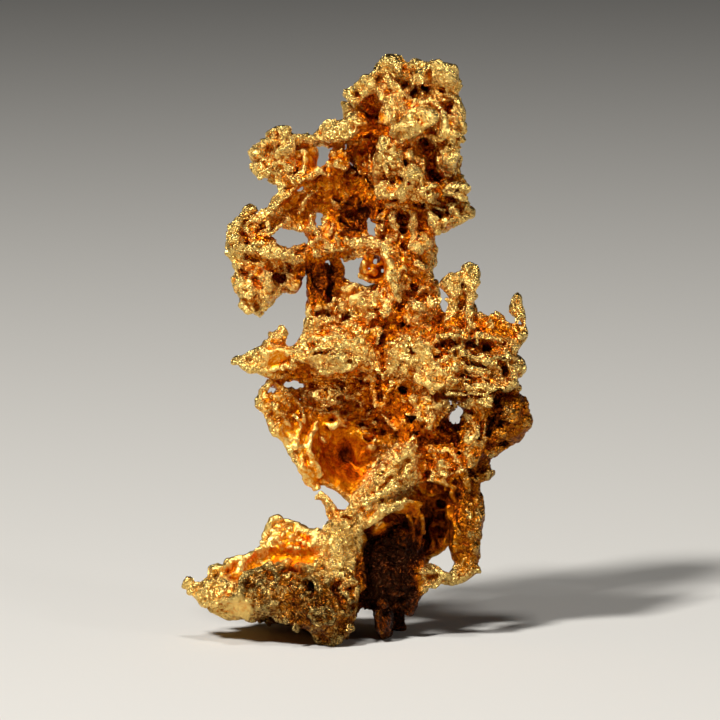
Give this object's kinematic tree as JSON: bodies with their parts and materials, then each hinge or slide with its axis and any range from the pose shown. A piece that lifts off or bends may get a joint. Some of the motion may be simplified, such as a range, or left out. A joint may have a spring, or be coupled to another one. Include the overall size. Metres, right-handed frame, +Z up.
{
  "type": "crystallized gold specimen",
  "caption": "Free-standing native gold specimen: crumpled leaves, rounded crystal knobs and thin stems grown together round open gaps, standing upright on its own rough foot.",
  "frame": {"origin": "centre of the bounding box at its base, on the plane the specimen stands on", "axes": "+Z up, +X to the right as seen from the display side, -Y towards the viewer on the display side"},
  "size_m": [0.0348, 0.0178, 0.0581],
  "materials": {
    "gold": "natural crystallized native gold, satin to bright, rough in its pits"
  },
  "bodies": {
    "root": {"crystallized_gold": "gold"}
  },
  "joints": []
}
